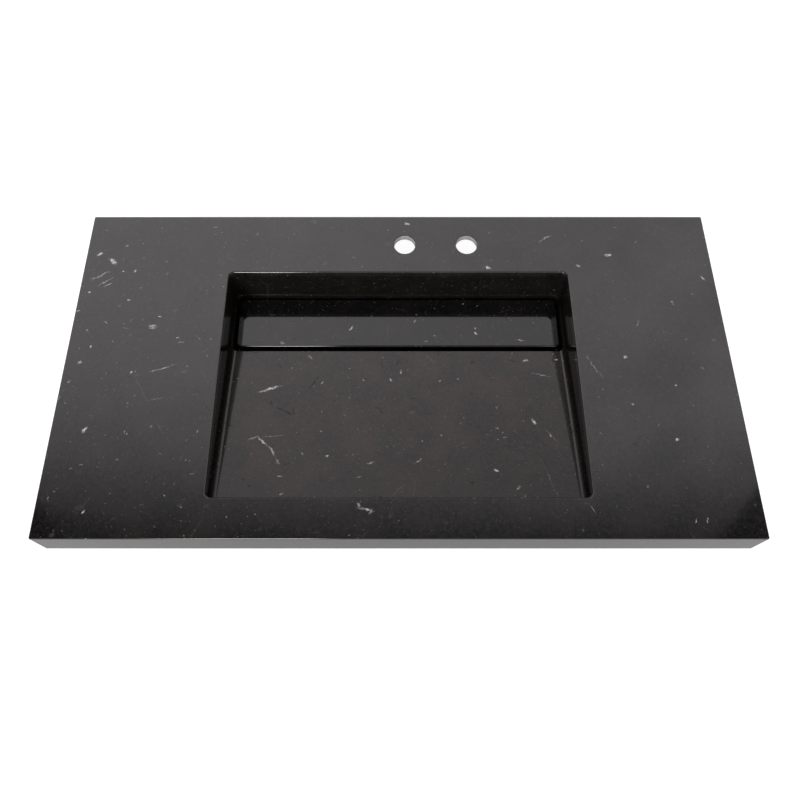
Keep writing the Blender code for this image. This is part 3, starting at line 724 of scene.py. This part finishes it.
def spread_front(co, out):
    """Moves only the front wall of the trough."""
    at_front = co.y < TROUGH_FRONT + TROUGH_LENGTH / 2
    return co.x, co.y - out if at_front else co.y


def piece_from(name, bm, material=None):
    """Makes a form an object of the scene."""
    mesh = bpy.data.meshes.new(name)
    bm.to_mesh(mesh)
    bm.free()
    if material:
        mesh.materials.append(material)
    piece = bpy.data.objects.new(name, mesh)
    bpy.context.scene.collection.objects.link(piece)
    return piece


def combine(piece, bm, operation="DIFFERENCE"):
    """Cuts a form out of a piece, or joins it on, for good."""
    other = piece_from("form", bm)
    change = piece.modifiers.new("form", "BOOLEAN")
    change.object = other
    change.operation = operation
    change.solver = "EXACT"
    graph = bpy.context.evaluated_depsgraph_get()
    done = bpy.data.meshes.new_from_object(piece.evaluated_get(graph))
    piece.modifiers.remove(change)
    before, spent = piece.data, other.data
    piece.data = done
    bpy.data.objects.remove(other)
    for mesh in (before, spent):
        bpy.data.meshes.remove(mesh)
    done.name = piece.name


def joined_copy(node):
    """A CAD node's mesh with its loose triangles joined, and its flat faces whole again."""
    bm = bmesh.new()
    bm.from_mesh(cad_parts[node].data)
    bmesh.ops.remove_doubles(bm, verts=bm.verts, dist=JOIN_WITHIN)
    bmesh.ops.dissolve_limit(bm, angle_limit=FLAT_ANGLE, verts=bm.verts, edges=bm.edges)
    return bm


def shade(piece):
    """Shades rounded strips smooth and wide faces flat, so that flat faces mirror without waves."""
    mesh = piece.data
    mesh.set_sharp_from_angle(angle=SHARP_ANGLE)
    for face in mesh.polygons:
        corners = [mesh.vertices[index].co for index in face.vertices]
        longest = max((a - b).length for a, b in zip(corners, corners[1:] + corners[:1]))
        face.use_smooth = face.area < longest * WIDEST_ROUNDED_FACE


def refinish(piece, material, chosen):
    """Gives the chosen faces another material: another finish, and on the bowl's upright walls a painted
    shade.
    """
    piece.data.materials.append(material)
    last = len(piece.data.materials) - 1
    for face in piece.data.polygons:
        if chosen(face.center, face.normal):
            face.material_index = last


def dress(piece, body, slot, *nodes):
    """Shades a finished piece and puts it in the place of its nodes, on their body."""
    shade(piece)
    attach(piece, body)
    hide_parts(*nodes)


def in_tap_hole(at, normal):
    """Whether a face is on the wall of a tap hole."""
    return at.y > OPENING_BACK + TAP_HOLE_RADIUS and abs(normal.z) < SHEET_LEAN


def on_outer_edge(at, normal):
    """Whether a face is on the sheet's upright outer edge."""
    outside = at.y < FRONT_EDGE + EDGE_EASE or at.y > BACK_EDGE - EDGE_EASE or abs(at.x) > SIDE_EDGE
    return outside and abs(normal.z) < SHEET_LEAN


def on_front_rim(at, normal):
    """Whether a face is on the opening's front rim, which is eased and polished by hand with the ramp."""
    return at.y < OPENING_FRONT + CORNER_RADIUS and normal.y > RIM_LEAN


def make_deck(stone, edge_stone, rim_stone, drilled, unpolished):
    """The sheet: eased top edge, rounded rim round the opening, and two tap holes."""
    bm = box_form(TOP_WIDTH / 2, FRONT_EDGE, BACK_EDGE, DECK_UNDERSIDE, DECK_TOP, OUTER_CORNER_RADIUS)
    highest = [vert for vert in bm.verts if vert.co.z > DECK_TOP - NEAR]
    round_off(bm, rim_of(highest), EDGE_EASE, EASE_STEPS)
    deck = piece_from("deck", bm, stone)
    below, above = DECK_UNDERSIDE - EDGE_EASE, DECK_TOP + EDGE_EASE
    half_depth = OPENING_DEPTH / 2
    bm = box_form(OPENING_RIGHT, OPENING_FRONT, OPENING_BACK, below, above, CORNER_RADIUS)
    spread = spread_from(0, OPENING_FRONT + half_depth, OPENING_RIGHT, half_depth)
    combine(deck, flare(bm, DECK_TOP, OPENING_EASE, spread))
    for x in (FIRST_TAP_HOLE_X, FIRST_TAP_HOLE_X + TAP_HOLE_SPACING):
        bm = cylinder_form(TAP_HOLE_RADIUS, below, above, x, TAP_HOLE_Y)
        spread = spread_from(x, TAP_HOLE_Y, TAP_HOLE_RADIUS, TAP_HOLE_RADIUS)
        combine(deck, flare(bm, DECK_TOP, TAP_HOLE_EASE, spread))
    refinish(deck, drilled, in_tap_hole)
    refinish(deck, edge_stone, on_outer_edge)
    refinish(deck, rim_stone, on_front_rim)
    refinish(deck, unpolished, lambda at, normal: normal.z < -WALL_LEAN)
    dress(deck, "top", "marble_effect", "deck_sheet")


def make_apron(node, stone):
    """A built-up edge, carried up to the sheet and into the mitres, where filler hides the joints."""
    bm = joined_copy(node)
    for vert in bm.verts:
        if vert.co.z > DECK_UNDERSIDE - BOND_GAP - NEAR:
            vert.co.z = DECK_UNDERSIDE
    low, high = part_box(node)
    axis = 0 if high.x - low.x > high.y - low.y else 1
    middle = (low[axis] + high[axis]) / 2
    length = high[axis] - low[axis]
    into_mitre = 1 + BOND_GAP * math.sqrt(2) / length
    for vert in bm.verts:
        vert.co[axis] = middle + (vert.co[axis] - middle) * into_mitre
    dress(piece_from(node + "_polished", bm, stone), "top", "marble_effect", node)


def outside_of_bowl(at, normal):
    """Whether a face is on the bowl's hidden outer side."""
    margin = BOWL_WALL / 2
    beyond_x = abs(at.x) > OPENING_RIGHT + margin
    beyond_y = at.y < OPENING_FRONT - margin or at.y > OPENING_BACK + margin
    trough_front = normal.y < -SHEET_LEAN and at.y < DRAIN_Y and at.z < RAMP_END
    return beyond_x or beyond_y or trough_front or normal.z < -SHEET_LEAN


def make_bowl(stone, shaded_wall_stone, unpolished):
    """The moulded bowl: a coved shell with a sloping floor, a drain trough and a flange for its bond."""
    flange_low = DECK_UNDERSIDE - BOND_GAP - FLANGE_THICKNESS
    bowl = piece_from("bowl", basin_form(BOWL_WALL, flange_low + BOND_GAP, COVE_RADIUS + BOWL_WALL), stone)
    outline = (OPENING_RIGHT + BOWL_REACH, OPENING_FRONT - BOWL_REACH, OPENING_BACK + BOWL_REACH)
    combine(bowl, box_form(*outline, flange_low, DECK_UNDERSIDE, CORNER_RADIUS + BOWL_REACH), "UNION")
    combine(bowl, trough_form(BOWL_WALL, RAMP_END, TROUGH_COVE_RADIUS + BOWL_WALL), "UNION")
    combine(bowl, basin_form(0, DECK_TOP, COVE_RADIUS))
    bm = trough_form(0, DECK_UNDERSIDE, TROUGH_COVE_RADIUS)
    combine(bowl, flare(bm, RAMP_END, TROUGH_LIP_EASE, spread_front))
    combine(bowl, cylinder_form(RECESS_RADIUS, RECESS_FLOOR, RAMP_END, 0, DRAIN_Y))
    combine(bowl, cylinder_form(DRAIN_HOLE_RADIUS, BOWL_UNDERSIDE - BOWL_WALL, RAMP_END, 0, DRAIN_Y))
    # The upright walls take the stone whose darker colours are painted shade
    refinish(bowl, shaded_wall_stone, lambda at, normal: normal.z < WALL_LEAN)
    refinish(bowl, unpolished, outside_of_bowl)
    dress(bowl, "top", "marble_effect", "basin_bowl")


def make_cover(stone):
    """The lift-out cover: a rounded plate of the same stone, eased all round, its colours set darker than
    the sheet's as painted shade.
    """
    low = COVER_TOP - SHEET_THICKNESS
    bm = box_form(COVER_RIGHT, COVER_FRONT, COVER_BACK, low, COVER_TOP, COVER_CORNER_RADIUS)
    highest = [vert for vert in bm.verts if vert.co.z > COVER_TOP - NEAR]
    round_off(bm, rim_of(highest), COVER_EASE, EASE_STEPS)
    round_off(bm, rim_of(lowest_of(bm, low)), EDGE_EASE, EASE_STEPS)
    dress(piece_from("cover", bm, stone), "cover", "marble_effect", "drain_cover")


def make_eased_copy(node, suffix, ease, material, body, slot):
    """A CAD node with its sharp edges broken."""
    bm = joined_copy(node)
    sharp = [edge for edge in bm.edges if edge.is_manifold and edge.calc_face_angle() > ARRIS_ANGLE]
    round_off(bm, sharp, ease, ARRIS_STEPS)
    dress(piece_from(node + suffix, bm, material), body, slot, node)


def turned_form(profile, y):
    """A closed outline of radii and heights, turned about the upright line x = 0 at this y."""
    bm = bmesh.new()
    verts = [bm.verts.new((radius, y, z)) for radius, z in profile]
    edges = [bm.edges.new(pair) for pair in zip(verts, verts[1:] + verts[:1])]
    bmesh.ops.spin(
        bm,
        geom=verts + edges,
        cent=(0, y, 0),
        axis=(0, 0, 1),
        angle=math.tau,
        steps=ROUND_STEPS,
        use_merge=True,
        use_duplicate=False,
    )
    bmesh.ops.remove_doubles(bm, verts=bm.verts, dist=TURN_JOIN_WITHIN)
    bmesh.ops.recalc_face_normals(bm, faces=bm.faces)
    return bm


def make_drain_body(chrome):
    """The flanged drain fitting: a domed flange, and a shank with its thread cut from below."""
    foot = RECESS_FLOOR + BOND_GAP + SEAL_THICKNESS + BOND_GAP
    top = foot + DRAIN_FLANGE_THICKNESS
    outer = SHANK_RADIUS + DRAIN_FLANGE_WIDTH
    shank_foot = foot - SHANK_LENGTH
    seat = top - THROAT_DEPTH
    profile = [(THROAT_RADIUS + GRID_LEDGE, seat), (THROAT_RADIUS + GRID_LEDGE, top - ARRIS)]
    profile.append((THROAT_RADIUS + GRID_LEDGE + ARRIS, top))
    dome_width = DRAIN_FLANGE_WIDTH / 2
    dome_foot = foot + DRAIN_FLANGE_THICKNESS / 3
    dome_height = DRAIN_FLANGE_THICKNESS * 2 / 3
    for step in range(EASE_STEPS + 1):
        angle = math.pi / 2 * step / EASE_STEPS
        radius = outer - dome_width + dome_width * math.sin(angle)
        profile.append((radius, dome_foot + dome_height * math.cos(angle)))
    profile += [(outer, foot), (SHANK_RADIUS, foot)]
    z = foot - THREAD_START
    while z > shank_foot + THREAD_END:
        profile.append((SHANK_RADIUS, z))
        profile.append((SHANK_RADIUS - THREAD_DEPTH, z - THREAD_PITCH / 2))
        z -= THREAD_PITCH
    profile += [(SHANK_RADIUS, z), (SHANK_RADIUS, shank_foot + ARRIS), (SHANK_RADIUS - ARRIS, shank_foot)]
    profile += [(THROAT_RADIUS, shank_foot), (THROAT_RADIUS, seat)]
    piece = piece_from("drain_fitting", turned_form(profile, DRAIN_Y), chrome)
    dress(piece, "top", "chrome", "drain_body")


def make_tailpiece(chrome):
    """The thin pipe for a trap: a rolled bead near its foot, and a soft lip."""
    outer = THROAT_RADIUS - PIPE_CLEARANCE
    inner = outer - PIPE_WALL
    top = RECESS_FLOOR + BOND_GAP * 2 + SEAL_THICKNESS - SHANK_LENGTH + PIPE_INSERTION
    foot = top - PIPE_LENGTH
    lip = [(inner, top), (outer - PIPE_LIP, top), (outer, top - PIPE_LIP)]
    beads = []
    for bead in PIPE_BEADS:
        middle = foot + bead
        for step in range(-EASE_STEPS, EASE_STEPS + 1):
            share = step / EASE_STEPS
            groove = PIPE_BEAD_DEPTH * (1 + math.cos(math.pi * share)) / 2
            beads.append((outer - groove, middle - share * PIPE_BEAD_WIDTH))
    beads.sort(key=lambda spot: -spot[1])
    end = [(outer, foot + PIPE_LIP), (outer - PIPE_LIP, foot), (inner, foot)]
    piece = piece_from("tail_pipe", turned_form(lip + beads + end, DRAIN_Y), chrome)
    dress(piece, "top", "chrome", "tailpiece")


def make_object():
    sheet_stone = marble_effect("polished_black_marble_effect_sheet")
    edge_stone = marble_effect("honed_black_marble_effect_edge")
    shaded_cover_stone = marble_effect("polished_black_marble_effect_cover_with_painted_shade")
    bowl_stone = marble_effect("hand_polished_black_marble_effect_ramp")
    shaded_wall_stone = marble_effect("black_marble_effect_wall_with_painted_shade")
    rubber = moulded_rubber("moulded_rubber")
    chrome = chromed_brass("chromed_brass")
    unpolished = unpolished_stone("unpolished_marble_effect")
    make_deck(sheet_stone, edge_stone, bowl_stone, drilled_stone("drilled_marble_effect"), unpolished)
    for node in ("front_apron", "left_apron", "right_apron", "back_strip"):
        make_apron(node, edge_stone)
    make_bowl(bowl_stone, shaded_wall_stone, unpolished)
    make_cover(shaded_cover_stone)
    for side in ("left", "right"):
        # The spacers under the cover take its stone, with the same painted shade
        make_eased_copy(side + "_spacer", "_bar", ARRIS, shaded_cover_stone, "cover", "marble_effect")
        for end in ("front", "back"):
            make_eased_copy(f"bumper_{end}_{side}", "_foot", ARRIS, rubber, "cover", "rubber")
    long_rails = ("front_rail", "back_rail")
    cross_rails = ("left_rail", "right_rail", "left_bridge", "right_bridge")
    for thickness_axis, rails in (("Y", long_rails), ("X", cross_rails)):
        wood = birch_plywood("birch_plywood_across_" + thickness_axis.lower(), thickness_axis)
        for node in rails:
            make_eased_copy(node, "_ply", ARRIS, wood, "top", "plywood")
    make_eased_copy("flange_seal", "_ring", RING_ARRIS, rubber, "top", "rubber")
    make_eased_copy("cone_washer", "_ring", RING_ARRIS, rubber, "top", "rubber")
    fibre = vulcanised_fibre("vulcanised_fibre")
    make_eased_copy("friction_washer", "_ring", WASHER_ARRIS, fibre, "top", "fibre")
    make_eased_copy("lock_nut", "_hex", ARRIS, chrome, "top", "chrome")
    make_eased_copy("strainer_grid", "_disc", GRID_ARRIS, chrome, "top", "chrome")
    make_drain_body(chrome)
    make_tailpiece(chrome)


# Studio

# Camera: lens and sensor in millimetres, and its place from the middle of the deck's front edge
LENS = 35.84
SENSOR = 36
LENS_SHIFT = (0.0088, -0.1)
CAMERA_FROM_FRONT_EDGE = (-0.0083, -0.2356, 1.1053)
CAMERA_TILT = math.radians(62.58)

# Table
TABLE_SIZE = 40
TABLE_GLOW = 0.69

# The tent: how far back a direction leans for each metre up, and how bright the cloth is there
TENT = (
    (-1.0, 1.3),
    (-0.5, 0.9),
    (-0.2, 0.1),
    (0.19, 0.10),
    (0.2165, 0.26),
    (0.2245, 0.38),
    (0.246, 0.58),
    (0.27, 0.86),
    (0.301, 1.20),
    (0.34, 1.43),
    (0.383, 1.62),
    (0.45, 1.82),
    (0.503, 1.90),
    (0.615, 1.98),
    (0.686, 2.02),
    (0.734, 2.13),
    (0.813, 2.24),
    (0.855, 2.38),
    (0.90, 2.53),
    (0.98, 2.53),
    (1.12, 0.6),
    (2.4, 0.5),
    (3.2, 1.3),
)
BRIGHTEST = 2.53

# The least rise or run of a direction, so that its lean stays finite at the horizon
LEAST_RUN = 0.02

# The bright wall falls off from left to right, and the dark ceiling sags towards the corners
LEFT_SHARE = 1.12
RIGHT_SHARE = 0.92
SIDEWAYS_FROM = -0.13
SIDEWAYS_TO = 0.15
FADE_FROM = 0.34
FADE_TO = 0.45
SAG_LEFT = 0.12
SAG_RIGHT = 0.01
CORNER_START = 0.39
CORNER_WIDTH = 0.12
CORNER_SLOPE = 1.1
CORNER_EDGE = 0.200
CORNER_SOFTNESS = 0.008
CORNER_SHARE = 0.25

# Between these leans towards the front, the corners' shade goes
FRONT_FROM = -0.2
FRONT_TO = -0.5

# Soft folds in the cloth on the right
FOLD_SIZE = 0.10
FOLD_SHARES = (0.88, 1.08)
FOLDS_FROM = 0.20
FOLDS_TO = 0.30

# The soft box in front, on the left: its sides and heights for each metre forwards
BOX_SIDES = (-0.34, -0.135)
BOX_HEIGHTS = (0.35, 1.1)
BOX_SOFTNESS = 0.03
BOX_BRIGHTNESS = 25


def make_table():
    """A pale, softly lit table under the top."""
    bm = bmesh.new()
    bmesh.ops.create_grid(bm, x_segments=1, y_segments=1, size=TABLE_SIZE)
    bmesh.ops.translate(bm, vec=(0, 0, cad_box[0].z), verts=bm.verts)
    material, _, shader, _ = new_material("matt_white_table", "#b0b4b4", roughness=0.9)
    shader.inputs["Emission Color"].default_value = linear("#ffffff")
    shader.inputs["Emission Strength"].default_value = TABLE_GLOW
    shader.inputs["Specular IOR Level"].default_value = 0
    piece_from("table", bm, material)


def within(tree, value, bounds, softness):
    """1 between the bounds, and 0 from a soft step outside them."""
    low, high = bounds
    inputs = {"Value": value, "From Min": low - softness, "From Max": low}
    enter = add_node(tree, "ShaderNodeMapRange", inputs)
    inputs = {"Value": value, "From Min": high, "From Max": high + softness, "To Min": 1, "To Max": 0}
    leave = add_node(tree, "ShaderNodeMapRange", inputs)
    return add_node(tree, "ShaderNodeMath", {0: enter, 1: leave}, operation="MULTIPLY")


def sagging_level(tree, lean, sideways):
    """How far back a direction leans, less the sag of the cloth towards the left and the right."""
    level = lean
    for operation, sag in (("MINIMUM", SAG_LEFT), ("MAXIMUM", SAG_RIGHT)):
        side = add_node(tree, "ShaderNodeMath", {0: sideways, 1: 0.0}, operation=operation)
        squared = add_node(tree, "ShaderNodeMath", {0: side, 1: side}, operation="MULTIPLY")
        level = add_node(tree, "ShaderNodeMath", {0: squared, 1: -sag, 2: level}, operation="MULTIPLY_ADD")
    return level


def tent_brightness(tree, level):
    """Brightness of the tent at a level, as a share of the brightest."""
    lowest, highest = TENT[0][0], TENT[-1][0]
    inputs = {"Value": level, "From Min": lowest, "From Max": highest}
    share = add_node(tree, "ShaderNodeMapRange", inputs)
    wall = add_node(tree, "ShaderNodeValToRGB", {"Fac": share})
    stops = wall.color_ramp.elements
    while len(stops) < len(TENT):
        stops.new(0.5)
    for stop, (lean_there, brightness) in zip(stops, TENT):
        grey = brightness / BRIGHTEST
        stop.position = (lean_there - lowest) / (highest - lowest)
        stop.color = (grey, grey, grey, 1)
    return wall


def fall_off(tree, lean, axes):
    """How bright the brightest cloth is: more on the left than on the right, where it hangs as a wall."""
    inputs = {
        "Value": axes["X"],
        "From Min": SIDEWAYS_FROM,
        "From Max": SIDEWAYS_TO,
        "To Min": LEFT_SHARE * BRIGHTEST,
        "To Max": RIGHT_SHARE * BRIGHTEST,
    }
    across = add_node(tree, "ShaderNodeMapRange", inputs)
    inputs = {"Value": lean, "From Min": FADE_FROM, "From Max": FADE_TO}
    fade = add_node(tree, "ShaderNodeMapRange", inputs)
    inputs = {"Factor": fade, MIX_FIRST_NUMBER: BRIGHTEST, MIX_SECOND_NUMBER: across}
    return add_node(tree, "ShaderNodeMix", inputs, data_type="FLOAT")


def shade_of_corners(tree, lean, sideways):
    """The share of light that is left where the dark ceiling comes down in the corners."""
    out = add_node(tree, "ShaderNodeMath", {0: sideways}, operation="ABSOLUTE")
    inputs = {
        "Value": out,
        "From Min": CORNER_START,
        "From Max": CORNER_START + CORNER_WIDTH,
        "To Min": CORNER_EDGE,
        "To Max": CORNER_EDGE + CORNER_WIDTH * CORNER_SLOPE,
    }
    edge = add_node(tree, "ShaderNodeMapRange", inputs)
    above = add_node(tree, "ShaderNodeMath", {0: lean, 1: edge}, operation="SUBTRACT")
    inputs = {"Value": above, "From Min": -CORNER_SOFTNESS, "From Max": 0, "To Min": CORNER_SHARE}
    corner = add_node(tree, "ShaderNodeMapRange", inputs)
    inputs = {"Value": lean, "From Min": FRONT_FROM, "From Max": FRONT_TO}
    front = add_node(tree, "ShaderNodeMapRange", inputs)
    return add_node(tree, "ShaderNodeMath", {0: corner, 1: front}, operation="MAXIMUM")


def bright_wall(tree, axes):
    """Brightness of the tent by how far back and how far sideways a direction leans."""
    height = add_node(tree, "ShaderNodeMath", {0: axes["Z"], 1: LEAST_RUN}, operation="MAXIMUM")
    lean = add_node(tree, "ShaderNodeMath", {0: axes["Y"], 1: height}, operation="DIVIDE")
    sideways = add_node(tree, "ShaderNodeMath", {0: axes["X"], 1: height}, operation="DIVIDE")
    # Kept between -1 and 1, so that the sag stays small at the horizon
    inputs = {"Value": sideways, "From Min": -1, "To Min": -1}
    sideways = add_node(tree, "ShaderNodeMapRange", inputs)
    wall = tent_brightness(tree, sagging_level(tree, lean, sideways))
    inputs = {0: wall, 1: fall_off(tree, lean, axes)}
    lit = add_node(tree, "ShaderNodeMath", inputs, operation="MULTIPLY")
    inputs = {0: lit, 1: shade_of_corners(tree, lean, sideways)}
    return add_node(tree, "ShaderNodeMath", inputs, operation="MULTIPLY")


def folds_of_cloth(tree, direction, axes):
    """How much the hanging cloth's folds lighten or darken it, on the right."""
    darker, lighter = FOLD_SHARES
    folds = texture_patches(tree, direction, FOLD_SIZE, *SOFT, detail=1.0, least=darker, most=lighter)
    inputs = {"Value": axes["X"], "From Min": FOLDS_FROM, "From Max": FOLDS_TO}
    on_right = add_node(tree, "ShaderNodeMapRange", inputs)
    inputs = {"Factor": on_right, MIX_FIRST_NUMBER: 1.0, MIX_SECOND_NUMBER: folds}
    return add_node(tree, "ShaderNodeMix", inputs, data_type="FLOAT")


def soft_box(tree, axes):
    """Brightness of a soft box that stands in front of the top, on the left."""
    forwards = add_node(tree, "ShaderNodeMath", {0: axes["Y"], 1: -1}, operation="MULTIPLY")
    forwards = add_node(tree, "ShaderNodeMath", {0: forwards, 1: LEAST_RUN}, operation="MAXIMUM")
    masks = []
    for axis, bounds in (("X", BOX_SIDES), ("Z", BOX_HEIGHTS)):
        slope = add_node(tree, "ShaderNodeMath", {0: axes[axis], 1: forwards}, operation="DIVIDE")
        masks.append(within(tree, slope, bounds, BOX_SOFTNESS))
    face = add_node(tree, "ShaderNodeMath", {0: masks[0], 1: masks[1]}, operation="MULTIPLY")
    return add_node(tree, "ShaderNodeMath", {0: face, 1: BOX_BRIGHTNESS}, operation="MULTIPLY")


def make_tent():
    """A white photographer's tent: bright behind the top, and dark overhead where the camera looks in."""
    world = bpy.data.worlds.new("white_tent")
    bpy.context.scene.world = world
    world.use_nodes = True
    tree = world.node_tree
    background = tree.nodes["Background"]
    background.inputs["Color"].default_value = linear("#fffbfc")
    direction = add_node(tree, "ShaderNodeTexCoord", {}).outputs["Generated"]
    axes = add_node(tree, "ShaderNodeSeparateXYZ", {"Vector": direction}).outputs
    # The tent times its folds, plus the soft box
    light = {0: bright_wall(tree, axes), 1: folds_of_cloth(tree, direction, axes), 2: soft_box(tree, axes)}
    total = add_node(tree, "ShaderNodeMath", light, operation="MULTIPLY_ADD")
    tree.links.new(total.outputs[0], background.inputs["Strength"])


def make_camera():
    """The photograph's view: from in front, 62.6 degrees down."""
    lens = bpy.data.cameras.new("camera")
    lens.sensor_width = SENSOR
    lens.lens = LENS
    lens.shift_x, lens.shift_y = LENS_SHIFT
    camera = bpy.data.objects.new("camera", lens)
    x, y, z = CAMERA_FROM_FRONT_EDGE
    camera.location = (x, FRONT_EDGE + y, DECK_TOP + z)
    camera.rotation_euler.x = math.pi / 2 - CAMERA_TILT
    bpy.context.scene.collection.objects.link(camera)
    bpy.context.scene.camera = camera


make_object()
make_table()
make_tent()
make_camera()
bpy.context.scene.view_settings.view_transform = "Standard"
